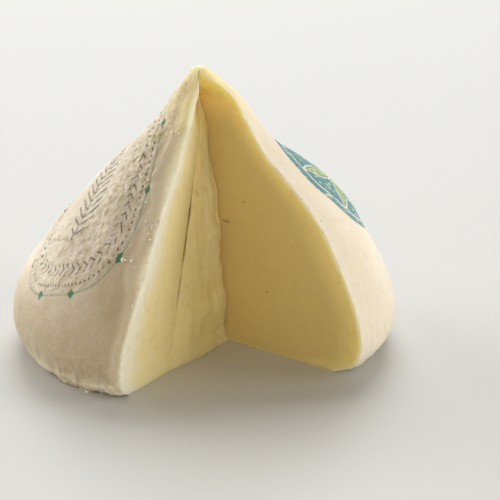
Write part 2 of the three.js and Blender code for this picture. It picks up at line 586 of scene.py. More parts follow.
def depth_with_painted_shade(level, plan, heel):
    """How deep each place counts as lying under the rind: its distance from the skin, square to the flank.

    On the left cut face a power of the way in is added, partly painted shade deepening into the corner of
    the cut. Across the heel the depth falls off as a parabola, painting its right side paler: painted light.
    """
    middle, radius, height = level.middle[:, None], level.radius[:, None], level.height[:, None]
    inward = skin_radius(radius, height, azimuth_from(middle, plan)) - np.linalg.norm(plan - middle, axis=-1)
    upright = np.maximum(level.upright, LEAST_UPRIGHT)[:, None]
    depth = np.minimum(inward * upright, height * BASE_DEPTH_GROWTH)
    own_depth = np.minimum(depth[:, LEFT_FACE_COLUMNS], TORN_OWN_DEPTH)
    # Partly painted shade: the left face deepens in colour towards the corner of the cut.
    depth[:, LEFT_FACE_COLUMNS] = own_depth + TORN_DEPTH_AND_SHADE * even(LEFT_FACE) ** TORN_DEPTH_AND_SHADE_POWER
    # Painted light: the heel grows paler towards its right side.
    depth[:, HEEL_COLUMNS] = TORN_DEPTH_AND_SHADE * (1 - HEEL_PAINTED_LIGHT * heel.across ** 2)
    return np.maximum(depth, 0)


def torn_and_painted_light_share(level, azimuth):
    """The share of torn rather than cut paste, with painted light and shade on the paste, and on the skin
    that of painted shade.
    """
    # The rind is painted darker behind and on the left flank: painted shade, as a darker copy of the same
    # rind.
    behind = smooth_step(*PAINTED_SHADE_BEHIND_FROM, azimuth) * smooth_step(*PAINTED_SHADE_BEHIND_TO, azimuth)
    later = PAINTED_SHADE_LATER * smooth_step(*PAINTED_SHADE_LATER_HEIGHTS, level.height)[:, None]
    skin = np.maximum(behind, smooth_step(*PAINTED_SHADE_LEFT, even(SKIN) - later))
    paste = np.concatenate([
        np.ones(LIP + LEFT_FACE + HEEL_FACE),
        1 - even(STEP_FACE),
        np.zeros(RIGHT_FACE + LIP),
    ])
    return np.concatenate([skin, np.repeat(paste[None], LEVELS, 0)], axis=1)


def bare_form():
    """The cheese before any relief, as a grid of levels by columns.

    Each level is a closed plan outline at one height: the skin's circle from the right lip round the back to
    the left lip, the rounded left lip, the left cut face, the heel's face with its step, the right cut face
    and the rounded right lip. Beside the points it gives, for each of them, the share of rind, the depth
    under the rind with painted shade and light added in the cut, the azimuth on the skin, the slant from the
    tip, the distance from the slit at the heel's left edge, the share of the way across the heel, the
    distance of the skin from the nearer lip, and the share of torn paste, with painted light and shade on the
    paste, and on the rind the share of painted shade.
    """
    level = flank_levels()
    cut = cut_form(level)
    lip = lip_form(level, cut)
    heel = heel_form(level, cut)
    middle, radius, height = level.middle, level.radius[:, None], level.height[:, None]
    first, last = lip.first[:, None], lip.last[:, None]
    azimuth = between(first, last, skin_shares())
    skin = skin_radius(radius, height, azimuth)[..., None] * heading(azimuth) + middle[:, None]
    skin_end = skin_radius(radius, height, last) * heading(lip.last) + middle
    plan = np.concatenate([
        skin,
        rounded(skin_end, cut.left_edge, lip.left_from, even(LIP)),
        straight(lip.left_from, heel.left, even(LEFT_FACE)),
        heel.face,
        straight(heel.end, heel.right, even(STEP_FACE)),
        straight(heel.right, lip.right_from, even(RIGHT_FACE)),
        rounded(lip.right_from, cut.right_edge, skin[:, 0], even(LIP)),
    ], axis=1)
    plan = spread_at_tip(plan, level, first)

    from_slit = np.full((LEVELS, COLUMNS), FAR_OFF)
    from_slit[:, HEEL_COLUMNS] = heel.width * heel.across
    across_heel = np.zeros((LEVELS, COLUMNS))
    across_heel[:, HEEL_COLUMNS] = heel.across
    from_lip = np.zeros((LEVELS, COLUMNS))
    from_lip[:, :SKIN] = np.radians(np.minimum(azimuth - first, last - azimuth)) * radius
    paste_azimuth = np.repeat(last, LIP + CUT_FACES, 1)
    return SimpleNamespace(
        points=np.concatenate([plan, np.repeat(height[..., None], COLUMNS, 1)], -1),
        rind=np.concatenate([np.ones(SKIN), 1 - even(LIP), np.zeros(CUT_FACES), even(LIP)]),
        depth=depth_with_painted_shade(level, plan, heel),
        azimuth=np.concatenate([azimuth, paste_azimuth, np.repeat(first, LIP, 1)], axis=1),
        slant=level.slant[:, None],
        from_slit=from_slit,
        across_heel=across_heel,
        from_lip=from_lip,
        torn=torn_and_painted_light_share(level, azimuth),
    )


def unrolled(azimuth, slant):
    """Place on the rind laid flat: the slant from the tip, swung by the unrolled angle from the back."""
    angle = np.radians(UNROLL * (azimuth - 180))
    return np.stack([slant * np.sin(angle), -slant * np.cos(angle)], -1)


def fold_line(sheet, start, end, bow, rise, spread):
    """One fold in the rind: a ridge along a bowed line on the flat sheet, with a crease on its lower side.

    Along the line the bow is a parabola. Across it the ridge is a bell curve, less a narrower bell beside it.
    """
    way = end - start
    span = np.linalg.norm(way)
    way = way / span
    along = (sheet - start) @ way / span
    across = (sheet - start) @ np.array([-way[1], way[0]]) - bow * 4 * along * (1 - along)
    ends = smooth_step(-0.08, 0.15, along) * smooth_step(1.08, 0.85, along)
    return rise * ends * (bell(across, 0, spread) - 0.9 * bell(across, -1.3 * spread, 0.6 * spread))


def all_folds(form):
    """Every fold of the list, with heights turned into slants."""
    heights = form.points[:, 0, 2]
    total = 0
    for azimuth, height, end_azimuth, end_height, bow, rise, spread in FOLDS:
        slants = np.interp((height, end_height), heights, form.slant[:, 0])
        start, end = unrolled(np.array([azimuth, end_azimuth]), slants)
        total = total + fold_line(form.sheet, start, end, bow, rise, spread)
    return total


def rind_relief(form):
    """How far the rind stands out: broad lumps, grain, puckers and folds at the prints, creases at the foot.

    The puckers are ridges of three sizes on the flat sheet, which noise warps.
    """
    points, sheet, height = form.points, form.sheet, form.points[..., 2]
    lumps = 0.45 * lattice_noise(points, size=30, seed=21) + 0.22 * lattice_noise(points, size=12, seed=22)
    grain = layered_noise(points, size=3.2, layers=2, seed=23)
    grain = (0.08 + 0.1 * smooth_step(72, 90, height)) * grain
    flat = np.concatenate([sheet, np.zeros_like(sheet[..., :1])], -1)
    warp = flat + 1.8 * np.stack([lattice_noise(points, size=7, seed=24 + k) for k in range(3)], -1)
    pucker = ridge_noise(warp, size=9, seed=31) ** 2 + ridge_noise(warp, size=4.2, seed=32) ** 2
    pucker = pucker + 0.5 * ridge_noise(warp, size=2.4, seed=33)
    wreath = unrolled(WREATH["azimuth"], WREATH["slant"])
    rosette = unrolled(ROSETTE["azimuth"], ROSETTE["slant"])
    near_wreath = smooth_step(*WREATH_PATCH_FADE, np.linalg.norm((sheet - wreath) / WREATH_PATCH, axis=-1))
    near_rosette = smooth_step(*ROSETTE_PATCH_FADE, np.linalg.norm(sheet - rosette, axis=-1))
    puckers = (WREATH_PUCKERS * near_wreath + ROSETTE_PUCKERS * near_rosette) * pucker
    creases = ridge_noise(points * (1, 1, 0.16), size=3.2, seed=41)
    creases = creases * smooth_step(*FOOT_CREASE_HEIGHTS, height)
    return lumps + grain + puckers + all_folds(form) - FOOT_CREASES * creases


def heel_flap(form):
    """Share and relief of the flap of paste: a low terrace past a wavering upright edge, with one fold.

    The fold is a bell curve in height along a line that rises to the right, and the flap is thicker below it.
    """
    height, across = form.points[..., 2], form.across_heel
    waver = 0.07 * layered_noise(form.points * (0, 0, 1), size=8, layers=2, seed=57)
    flap = smooth_step(FLAP_START - FLAP_EDGE, FLAP_START + FLAP_EDGE, across + waver)
    flap = flap * smooth_step(*FLAP_RIGHT, across)
    low, high = FLAP_ENDS
    flap = flap * smooth_step(low, low + FLAP_FADE, height) * smooth_step(high, high - FLAP_FADE, height)
    start, rise, stand, spread = FLAP_FOLD
    over_fold = height - start - rise * across
    terrace = FLAP_THICKNESS * (1 + smooth_step(0.5, -0.5, over_fold))
    return flap, flap * (terrace + stand * bell(over_fold, 0, spread))


def paste_relief(form):
    """How far the cut paste stands out: knife waves, torn upright ridges and the slit; and the slit alone,
    for painted shade.
    """
    points, height = form.points, form.points[..., 2]
    waves = 0.16 * lattice_noise(points, size=16, seed=51)
    waves += 0.06 * lattice_noise(points * (1, 1, 0.4), size=5, seed=52)
    torn = 0.28 * layered_noise(points * (1, 1, 0.14), size=3.4, layers=2, seed=53)
    torn += 0.25 * lattice_noise(points, size=6, seed=55)
    torn += 0.3 * ridge_noise(points * (1, 1, 0.2), size=4.5, seed=56)
    torn += 0.14 * layered_noise(points, size=2.4, layers=2, seed=58)
    on_heel = form.from_slit < FAR_OFF
    gape = smooth_step(*SLIT_OPENS, height) * smooth_step(*SLIT_CLOSES, height)
    gape = gape * np.clip(0.85 + 0.6 * lattice_noise(points * (0, 0, 1), size=5, seed=54), 0.1, 1.2)
    slit = gape * bell(form.from_slit, SLIT_PLACE, SLIT_WIDTH)
    return waves + torn * on_heel - SLIT_DEPTH * slit, slit


def foot_relief(form):
    """How far the foot stands out: a ragged rim, which tears cut back, and a tattered skirt on the floor."""
    points, rind, height = form.points, form.rind, form.points[..., 2]
    rim = smooth_step(*RIM_HEIGHTS, height) * rind
    tears = smooth_step(0.15, 0.5, lattice_noise(points, size=2.6, seed=63))
    ragged = RAGGED_RIM * layered_noise(points * (1, 1, 1.4), size=4.2, layers=3, seed=62) - RIM_TEARS * tears
    tatter = np.maximum(0.3 + 1.7 * layered_noise(points, size=4.4, layers=3, seed=64), 0)
    reach, from_lip, spread = LONG_TATTER
    longest = reach * bell(form.from_lip, from_lip, spread) * smooth_step(*LONG_TATTER_FROM, form.azimuth)
    skirt = smooth_step(*SKIRT_HEIGHTS, height) * rind * (tatter + longest)
    return ragged * rim, skirt


def surface_normals(points):
    """Unit normals of a grid that closes round each level: across columns times up the levels."""
    across = np.roll(points, -1, 1) - np.roll(points, 1, 1)
    normal = np.cross(across, np.gradient(points, axis=0))
    return normal / np.maximum(np.linalg.norm(normal, axis=-1, keepdims=True), 1e-9)


def dressed_form():
    """The cheese with its relief: the bare grid moved along its normals, with a ragged rim at the base.

    Rind and paste are mixed by the share of rind, with frayed noise where they meet. The relief fades out at
    the tip, and no point goes below the floor.
    """
    form = bare_form()
    form.sheet = unrolled(form.azimuth, form.slant)
    points, rind = form.points, form.rind
    height = points[..., 2]
    paste, form.crevice = paste_relief(form)
    form.flap, terrace = heel_flap(form)
    paste = paste + terrace
    frayed = 0.3 * layered_noise(points, size=3.0, layers=2, seed=61) * 4 * rind * (1 - rind)
    moved = rind_relief(form) * rind * smooth_step(0, 5, height) + paste * (1 - rind) + frayed
    ragged, skirt = foot_relief(form)
    moved = moved * smooth_step(0, 6, form.slant) + ragged
    points = points + surface_normals(points) * moved[..., None]
    points[..., :2] += heading(form.azimuth) * skirt[..., None]
    points[..., 2] = np.maximum(points[..., 2], 0)
    points[0, :, 2] = 0
    form.points = points
    form.normals = surface_normals(points)
    return form


def grid_faces(levels, columns):
    """Corner numbers of the quads between neighbouring levels, closing round each level."""
    level, column = np.meshgrid(np.arange(levels - 1), np.arange(columns), indexing="ij")
    after = (column + 1) % columns
    rows = (level * columns, (level + 1) * columns)
    quads = (rows[0] + column, rows[0] + after, rows[1] + after, rows[1] + column)
    return np.stack(quads, -1).reshape(-1, 4)


def make_object(name, vertices, quads, triangles, material):
    """A smooth-shaded mesh object at the origin, from vertices in millimetres."""
    mesh = bpy.data.meshes.new(name)
    mesh.from_pydata((vertices * MM).tolist(), [], quads.tolist() + triangles.tolist())
    mesh.polygons.foreach_set("use_smooth", np.ones(len(mesh.polygons), bool))
    mesh.materials.append(material)
    mesh.update()
    piece = bpy.data.objects.new(name, mesh)
    bpy.context.scene.collection.objects.link(piece)
    return piece


def give_value(piece, name, values):
    """Stores one number for each vertex as a named attribute, 0 for the vertices past the list's end."""
    padded = np.zeros(len(piece.data.vertices), np.float32)
    padded[:values.size] = values.ravel()
    piece.data.attributes.new(name, "FLOAT", "POINT").data.foreach_set("value", padded)


def give_sheet(piece, name, places):
    """Stores a flat place for each vertex as a UV map, in metres."""
    corners = np.empty(len(piece.data.loops), np.int32)
    piece.data.loops.foreach_get("vertex_index", corners)
    layer = piece.data.uv_layers.new(name=name)
    layer.data.foreach_set("uv", (places[corners] * MM).astype(np.float32).ravel())


def make_cheese(form, material):
    """The whole cheese as one closed mesh: the dressed grid, a fan to the tip and rings to the base's middle.

    Each ring is the foot's outline drawn in by a share towards the middle.
    """
    tip = np.array([[*axis_shift(np.array([HEIGHT]))[0], HEIGHT]])
    shares = np.array(BASE_RINGS)[:, None, None]
    middle = np.array([BASE_MIDDLE])
    rings = between(form.points[0], middle, shares)
    vertices = np.concatenate([form.points.reshape(-1, 3), rings.reshape(-1, 3), tip, middle])

    inner = LEVELS * COLUMNS
    numbers = np.concatenate([np.arange(COLUMNS), inner + np.arange(len(BASE_RINGS) * COLUMNS)])
    base = numbers[grid_faces(len(BASE_RINGS) + 1, COLUMNS)][:, [1, 0, 3, 2]]
    around = np.arange(COLUMNS)
    after = (around + 1) % COLUMNS
    top = (LEVELS - 1) * COLUMNS
    low_ring = inner + (len(BASE_RINGS) - 1) * COLUMNS
    tip_number = len(vertices) - 2
    fan = np.stack([top + around, top + after, np.full(COLUMNS, tip_number)], -1)
    floor_fan = np.stack([low_ring + after, low_ring + around, np.full(COLUMNS, tip_number + 1)], -1)
    quads = np.concatenate([grid_faces(LEVELS, COLUMNS), base])
    piece = make_object("cheese_body", vertices, quads, np.concatenate([fan, floor_fan]), material)

    # The depth holds painted shade on the left face and painted light across the heel.
    give_value(piece, "under_rind", form.depth)
    # On the skin the torn attribute is the share of painted shade. On the paste it also carries painted light
    # and shade.
    give_value(piece, "torn", form.torn)
    # The slit's share, which the material darkens with painted shade
    give_value(piece, "crevice", form.crevice)
    give_value(piece, "flap", form.flap)
    give_value(piece, "from_lip", form.from_lip)
    spare = np.tile(form.sheet[0, 0], (len(vertices) - inner, 1))
    give_sheet(piece, "skin", np.concatenate([form.sheet.reshape(-1, 2), spare]))
    piece.data.set_sharp_from_angle(angle=math.radians(SHARP_ANGLE))
    return piece


class Value:
    """A number that varies over the surface: arithmetic on it adds Math nodes to its node tree."""

    def __init__(self, tree, socket):
        self.tree = tree
        self.socket = socket

    def math(self, operation, *others):
        node = self.tree.nodes.new("ShaderNodeMath")
        node.operation = operation
        for slot, term in zip(node.inputs, (self, *others)):
            feed(self.tree, slot, term)
        return Value(self.tree, node.outputs[0])

    def __add__(self, other):
        return self.math("ADD", other)

    def __sub__(self, other):
        return self.math("SUBTRACT", other)

    def __rsub__(self, other):
        return (self * -1) + other

    def __mul__(self, other):
        return self.math("MULTIPLY", other)

    def __truediv__(self, other):
        return self.math("DIVIDE", other)

    def __abs__(self):
        return self.math("ABSOLUTE")

    __radd__ = __add__
    __rmul__ = __mul__

    def low(self, other):
        return self.math("MINIMUM", other)

    def high(self, other):
        return self.math("MAXIMUM", other)

    def fraction(self):
        return self.math("FRACT")

    def step(self, start, end):
        """Rises smoothly from 0 at start to 1 at end."""
        node = self.tree.nodes.new("ShaderNodeMapRange")
        node.interpolation_type = "SMOOTHSTEP"
        for slot, term in zip(node.inputs, (self, start, end, 0.0, 1.0)):
            feed(self.tree, slot, term)
        return Value(self.tree, node.outputs["Result"])


def feed(tree, slot, term):
    """Wires a value or a socket into a slot, or sets the slot to a plain number or colour."""
    if isinstance(term, Value):
        tree.links.new(term.socket, slot)
    elif isinstance(term, bpy.types.NodeSocket):
        tree.links.new(term, slot)
    else:
        slot.default_value = term


def colour(red, green, blue):
    """A colour given as the screen shows it, from 0 to 255, as the linear colour that nodes hold."""
    screen = np.array([red, green, blue]) / 255
    linear = np.where(screen <= 0.04045, screen / 12.92, ((screen + 0.055) / 1.055) ** 2.4)
    return (*linear, 1.0)


# Colours of the paste: its rim under the rind, the yellow below it and the ochre deep inside, cut and torn.
# The cut ones are a darker copy with painted shade and the torn ones a paler copy with painted light, and
# those for the tip and higher up a painted golden glow
SHADED_CUT_RIM = colour(249, 233, 188)
LIT_TORN_RIM = colour(252, 243, 222)
CUT_TIP_RIM = colour(253, 222, 138)
TORN_TIP_RIM = colour(250, 238, 202)
SHADED_CUT_YELLOW = colour(252, 233, 154)
CUT_TIP_YELLOW = colour(252, 217, 118)
LIT_TORN_YELLOW = colour(252, 234, 180)
SHADED_CUT_DEEP = colour(219, 196, 128)
LIT_TORN_DEEP = colour(253, 230, 166)
HIGH_DEEP = colour(248, 223, 142)
TIP_DEEP = colour(255, 222, 122)
PASTE_STREAK = colour(250, 242, 208)
PASTE_CLOUD = colour(205, 174, 106)
PASTE_PORE = colour(246, 230, 182)
FLAP_TONE = colour(254, 241, 200)
# Painted shade in the slit, the cracks and the pit
PAINTED_CREVICE_SHADE = colour(150, 104, 40)
DRY_CRUMB = colour(234, 222, 194)

# Colours of the rind, each for the lit rind and then for its darker copy with painted shade, or for both
LIT_PALE = colour(245, 233, 213)
SHADED_PALE = colour(208, 194, 174)
LIT_CLOUD = colour(240, 225, 200)
SHADED_CLOUD = colour(191, 173, 142)
SHADED_LOW_BELLY = colour(184, 166, 130)
RIND_FLECK = colour(188, 169, 137)
RIND_WRINKLE = colour(228, 217, 196)
LIT_UPPER = colour(224, 210, 185)
SHADED_UPPER = colour(178, 162, 133)
LIT_GOLD = colour(242, 228, 188)
SHADED_GOLD = colour(206, 187, 134)
TIP_GLOW = colour(252, 231, 165)
FOOT_STAIN = colour(188, 155, 98)
FOOT_MOTTLE = colour(236, 224, 198)
FOOT_BLOOM_AND_LIGHT = colour(242, 230, 206)
FOOT_CRUST = colour(252, 243, 224)
PALE_CHIP = colour(226, 210, 170)
DARK_CHIP = colour(164, 140, 90)
RIND_GRIT = colour(246, 236, 214)
# Pale bands beside the lips: partly a pale cut edge, partly a painted highlight and glow.
RIGHT_LIP_TONE = colour(248, 241, 226)
LEFT_LIP_TONE = colour(252, 241, 216)
LEFT_TIP_LIP_TONE = colour(253, 238, 192)

# Colours of the prints: the film of the left one, dark and light, its line, ink and lozenges, and the disc
# and petals of the right one
FILM_DARK = colour(198, 187, 166)
FILM_LIGHT = colour(232, 224, 206)
GREEN_LINE = colour(105, 156, 139)
GREY_INK = colour(76, 74, 69)
GREEN_LOZENGE = colour(50, 121, 85)
TEAL_DISC = colour(34, 130, 142)
LIME_PETAL = colour(178, 194, 100)


def mixed(tree, share, first, second):
    """A node that mixes two colours by a share."""
    node = tree.nodes.new("ShaderNodeMix")
    node.data_type = "RGBA"
    for index, term in ((0, share), (6, first), (7, second)):
        feed(tree, node.inputs[index], term)
    return node.outputs[2]


def noise(tree, place, size, detail, stretch=(1, 1, 1)):
    """Noise from 0 to 1 with features of one size in millimetres, stretched along the axes."""
    node = tree.nodes.new("ShaderNodeTexNoise")
    mapping = tree.nodes.new("ShaderNodeMapping")
    mapping.inputs["Scale"].default_value = stretch
    tree.links.new(place, mapping.inputs["Vector"])
    tree.links.new(mapping.outputs[0], node.inputs["Vector"])
    node.inputs["Scale"].default_value = 1 / (size * MM)
    node.inputs["Detail"].default_value = detail
    return Value(tree, node.outputs["Fac"])


def axis_value(tree, vector, axis):
    """One coordinate of a vector, in millimetres."""
    node = tree.nodes.new("ShaderNodeSeparateXYZ")
    tree.links.new(vector, node.inputs[0])
    return Value(tree, node.outputs[axis]) * (1 / MM)


def attribute_value(tree, name):
    """A number stored on the mesh."""
    node = tree.nodes.new("ShaderNodeAttribute")
    node.attribute_name = name
    return Value(tree, node.outputs["Fac"])


def new_group(name, inputs, outputs):
    """An empty shader node group with named inputs and outputs, and its two ends."""
    tree = bpy.data.node_groups.new(name, "ShaderNodeTree")
    for label, kind in inputs:
        tree.interface.new_socket(label, in_out="INPUT", socket_type=kind)
    for label, kind in outputs:
        tree.interface.new_socket(label, in_out="OUTPUT", socket_type=kind)
    return tree, tree.nodes.new("NodeGroupInput"), tree.nodes.new("NodeGroupOutput")


def paste_tone_group():
    """The paste's colour by its depth under the rind: white at the lip, yellow, then ochre inside, partly its
    own colour and partly painted shade deeper in the cut.

    Torn paste is painted paler than cut paste and its rim broader: painted light on the left face and heel,
    and painted shade on the right face. Towards the tip the paste turns golden, a painted glow for light
    through the thin tip.
    """
    inputs = (("Place", "NodeSocketVector"), ("Depth", "NodeSocketFloat"), ("Torn", "NodeSocketFloat"))
    outputs = (("Colour", "NodeSocketColor"), ("Height", "NodeSocketFloat"))
    tree, start, end = new_group("paste_tone", inputs, outputs)
    place = start.outputs["Place"]
    torn = Value(tree, start.outputs["Torn"])
    up = axis_value(tree, place, 2)
    # Higher up and near the tip the cut paste reaches its deep tone sooner, part of the painted golden glow.
    narrow = (up.step(45, 80) * 0.7 + up.step(86, 98) * 2.2) * (1.0 - torn) + 0.85
    reach = Value(tree, start.outputs["Depth"]) * narrow / (torn * 5 + 1)
    reach = reach + (noise(tree, place, size=7, detail=3) - 0.5) * reach.low(3.0) * 0.8
    # The cut share takes the darker copy with painted shade, the torn share the paler copy with painted
    # light.
    deep = mixed(tree, torn, SHADED_CUT_DEEP, LIT_TORN_DEEP)
    # Towards the tip deep, rim and yellow turn golden: a painted glow for light through the thin tip.
    deep = mixed(tree, up.step(83, 98) * (1.0 - torn * 0.5), deep, HIGH_DEEP)
    deep = mixed(tree, up.step(95, 102) * (1.0 - torn * 0.5), deep, TIP_DEEP)
    rim = mixed(tree, torn, SHADED_CUT_RIM, LIT_TORN_RIM)
    tip_rim = mixed(tree, torn, CUT_TIP_RIM, TORN_TIP_RIM)
    rim = mixed(tree, up.step(60, 100), rim, tip_rim)
    yellow = mixed(tree, up.step(80, 96), SHADED_CUT_YELLOW, CUT_TIP_YELLOW)
    yellow = mixed(tree, torn, yellow, LIT_TORN_YELLOW)
    tone = mixed(tree, reach.step(0.3, 1.7), rim, mixed(tree, 0.6, deep, yellow))
    tone = mixed(tree, reach.step(1.2, 11.0 - torn * 4), tone, deep)
    streak = noise(tree, place, size=2.2, detail=3, stretch=(1, 1, 0.12))
    tone = mixed(tree, streak.step(0.5, 0.75) * torn * 0.4, tone, PASTE_STREAK)
    cloud = noise(tree, place, size=4, detail=4)
    tone = mixed(tree, cloud.step(0.5, 0.8) * 0.25, tone, PASTE_CLOUD)
    pores = noise(tree, place, size=1.3, detail=1).step(0.68, 0.78)
    tone = mixed(tree, pores * 0.45, tone, PASTE_PORE)
    grain = noise(tree, place, size=0.8, detail=2) - pores
    height = streak * torn * 0.14 + grain * 0.05 + noise(tree, place, size=3, detail=2) * 0.08
    tree.links.new(tone, end.inputs["Colour"])
    tree.links.new(height.socket, end.inputs["Height"])
    return tree


def rind_tone_group():
    """The rind's colour: cream with cloudy patches and fine pale wrinkles.

    It is yellower and flaky towards the tip, with a painted glow there, and stained and bloomed at the foot,
    where the bloom is also painted light. The copy with painted shade is darker and browner, and darker
    still low on the belly.
    """
    inputs = (("Place", "NodeSocketVector"), ("Dull", "NodeSocketFloat"))
    outputs = (("Colour", "NodeSocketColor"), ("Height", "NodeSocketFloat"))
    tree, start, end = new_group("rind_tone", inputs, outputs)
    place = start.outputs["Place"]
    painted_shade_share = Value(tree, start.outputs["Dull"])
    up = axis_value(tree, place, 2)
    cloud = noise(tree, place, size=26, detail=4)
    fleck = noise(tree, place, size=3.0, detail=3)
    wrinkle = 1.0 - (abs(noise(tree, place, size=4.5, detail=3) - 0.5) * 14).low(1.0)
    # Each tone goes from the lit rind to its darker copy by the share of painted shade.
    pale = mixed(tree, painted_shade_share, LIT_PALE, SHADED_PALE)
    cloudy = mixed(tree, painted_shade_share, LIT_CLOUD, SHADED_CLOUD)
    tone = mixed(tree, cloud.step(0.35, 0.68), pale, cloudy)
    # Painted shade: low on the belly the shaded side is painted darker and browner.
    tone = mixed(tree, up.step(36, 14) * painted_shade_share * 0.65, tone, SHADED_LOW_BELLY)
    tone = mixed(tree, fleck.step(0.5, 0.8) * (painted_shade_share * 0.1 + 0.15), tone, RIND_FLECK)
    tone = mixed(tree, wrinkle * 0.12, tone, RIND_WRINKLE)
    tone = mixed(tree, up.step(50, 82) * 0.7, tone, mixed(tree, painted_shade_share, LIT_UPPER, SHADED_UPPER))
    # Towards the tip the rind turns yellower, partly its own tone and partly a painted glow for light through
    # the thin tip, brightest on the cap.
    tone = mixed(tree, up.step(76, 100) * 0.9, tone, mixed(tree, painted_shade_share, LIT_GOLD, SHADED_GOLD))
    tone = mixed(tree, up.step(98.5, 104) * (0.6 - painted_shade_share * 0.35), tone, TIP_GLOW)
    stain = noise(tree, place, size=7, detail=2).step(0.62, 0.74) * up.step(16, 4)
    tone = mixed(tree, stain * 0.7, tone, FOOT_STAIN)
    mottle = noise(tree, place, size=2.2, detail=3).step(0.48, 0.6) * up.step(30, 4)
    tone = mixed(tree, mottle * 0.16, tone, FOOT_MOTTLE)
    # The pale bloom at the foot is real bloom and also painted light, raised near the floor where the foot is
    # shaded.
    bloom_and_light = noise(tree, place, size=4, detail=4) + up.step(7, 2) * 0.12
    tone = mixed(tree, bloom_and_light.step(0.42, 0.58) * up.step(11, 2) * 0.7, tone, FOOT_BLOOM_AND_LIGHT)
    grit = noise(tree, place, size=0.55, detail=2)
    flaky = up.step(74, 90) * painted_shade_share
    chips = noise(tree, place, size=2.0, detail=4)
    tone = mixed(tree, chips.step(0.54, 0.62) * flaky * 0.5, tone, PALE_CHIP)
    tone = mixed(tree, chips.step(0.44, 0.36) * flaky * 0.4, tone, DARK_CHIP)
    tone = mixed(tree, grit.step(0.45, 0.8) * (flaky * 0.25 + 0.14), tone, RIND_GRIT)
    rough = noise(tree, place, size=1.1, detail=3) * (flaky * 0.2 + 0.12)
    height = rough + grit * 0.08 + wrinkle * 0.04 + chips * flaky * 0.5
    tree.links.new(tone, end.inputs["Colour"])
    tree.links.new(height.socket, end.inputs["Height"])
    return tree


def on_sheet(tree, sheet, print_place):
    """Coordinates in millimetres about a print's middle: right along the rind, and up the slant."""
    x, y = unrolled(print_place["azimuth"], print_place["slant"]) * MM
    turn = UNROLL * (print_place["azimuth"] - 180) + print_place["turn"]
    node = tree.nodes.new("ShaderNodeMapping")
    node.vector_type = "TEXTURE"
    node.inputs["Location"].default_value = (x, y, 0)
    node.inputs["Rotation"].default_value = (0, 0, math.radians(turn))
    tree.links.new(sheet, node.inputs["Vector"])
    place = node.outputs[0]
    return axis_value(tree, place, 0), axis_value(tree, place, 1)


def wreath_print(tree, sheet):
    """Masks of the left print: an ear of grain in an oval of leaf strokes, a green line, its lozenges, and
    the filmy patch that they are printed on.

    The oval is the root of the sum of the powers of the two shares, and strokes and dots repeat by its angle.
    """
    x, y = on_sheet(tree, sheet, WREATH)
    wide, tall = WREATH["width"], WREATH["height"]
    mean = (wide + tall) / 2
    across, along = x / wide, y / tall
    powers = abs(across).math("POWER", OVAL_POWER) + abs(along).math("POWER", OVAL_POWER)
    oval = powers.math("POWER", 1 / OVAL_POWER)
    turn = along.math("ARCTAN2", across) / (2 * math.pi)
    out = (oval - 1) * mean
    line = abs(out).step(0.34, 0.16)
    around = ((turn * WREATH_LOZENGES + 0.5).fraction() - 0.5) * (2 * math.pi * mean / WREATH_LOZENGES)
    lozenge = (abs(around) / LOZENGE_HALF[0] + abs(out) / LOZENGE_HALF[1]).step(1.05, 0.9)
    ring = abs((oval - LEAF_RING) * mean)
    strokes = (turn * WREATH_LEAVES + ring * 0.3).fraction() - 0.5
    leaves = abs(strokes).step(0.17, 0.1) * ring.step(2.2, 1.8)
    dots = abs((turn * WREATH_DOTS).fraction() - 0.5).step(0.26, 0.18)
    dots = dots * abs((oval - DOT_RING) * mean).step(0.5, 0.3)
    side = abs(x)
    grains = ((y - side * GRAIN_SLOPE) / GRAIN_PITCH).fraction() - 0.5
    reach = EAR_WIDTH - y * y * EAR_NARROWING
    ear = abs(grains).step(0.2, 0.12) * (side - reach).step(0.2, -0.2)
    stem = side.step(0.5, 0.3)
    ear = ear.high(stem) * abs(y).step(EAR_LENGTH, EAR_LENGTH - 0.7)
    return leaves.high(ear).high(dots), line, lozenge, out.step(0.6, -1.0)


def rosette_print(tree, sheet):
    """Masks of the right print: a disc, and on it a rosette of compass-drawn petals with dots between.

    One petal's half is folded round the middle by angle. Its edge is an arc about a point on the same circle.
    """
    x, y = on_sheet(tree, sheet, ROSETTE)
    size = ROSETTE["radius"]
    reach = size * PETAL_REACH
    ray = (x * x + y * y).math("SQRT")
    turn = y.math("ARCTAN2", x) / (2 * math.pi)
    fold = abs((turn * PETALS + 0.5).fraction() - 0.5) * (2 * math.pi / PETALS)
    px, py = ray * fold.math("COSINE"), ray * fold.math("SINE")
    dx, dy = px - reach / 2, py + reach * math.sin(math.pi / 3)
    petal = (dx * dx + dy * dy).math("SQRT") - reach
    ex, ey = px - reach * ROSETTE_DOT[0], py - reach * ROSETTE_DOT[1]
    dots = (ex * ex + ey * ey).math("SQRT")
    gap = abs(petal).step(0.5, 0.2).high(abs(ray - reach * ROSETTE_RING).step(0.5, 0.2))
    lime = petal.step(-0.8, -1.2) * petal.step(-2.6, -2.2)
    lime = lime.high(dots.step(1.6, 1.2))
    return ray.step(size + 0.3, size - 0.3) - gap, lime


def crack_mask(tree, place):
    """Painted shade in the small cracks and the pit: darkest in the middle of each, fading over its length
    and height.
    """
    ragged = (noise(tree, place, size=1.5, detail=2) - 0.5) * 1.2
    total = None
    for middle, length, height, darkness in CRACKS:
        node = tree.nodes.new("ShaderNodeMapping")
        node.vector_type = "TEXTURE"
        node.inputs["Location"].default_value = Vector(middle) * MM
        node.inputs["Scale"].default_value = (length * MM, length * MM, height * MM)
        tree.links.new(place, node.inputs["Vector"])
        away = tree.nodes.new("ShaderNodeVectorMath")
        away.operation = "LENGTH"
        tree.links.new(node.outputs[0], away.inputs[0])
        mask = (Value(tree, away.outputs["Value"]) + ragged).step(1.1, 0.5) * darkness
        total = total.high(mask) if total else mask
    return total


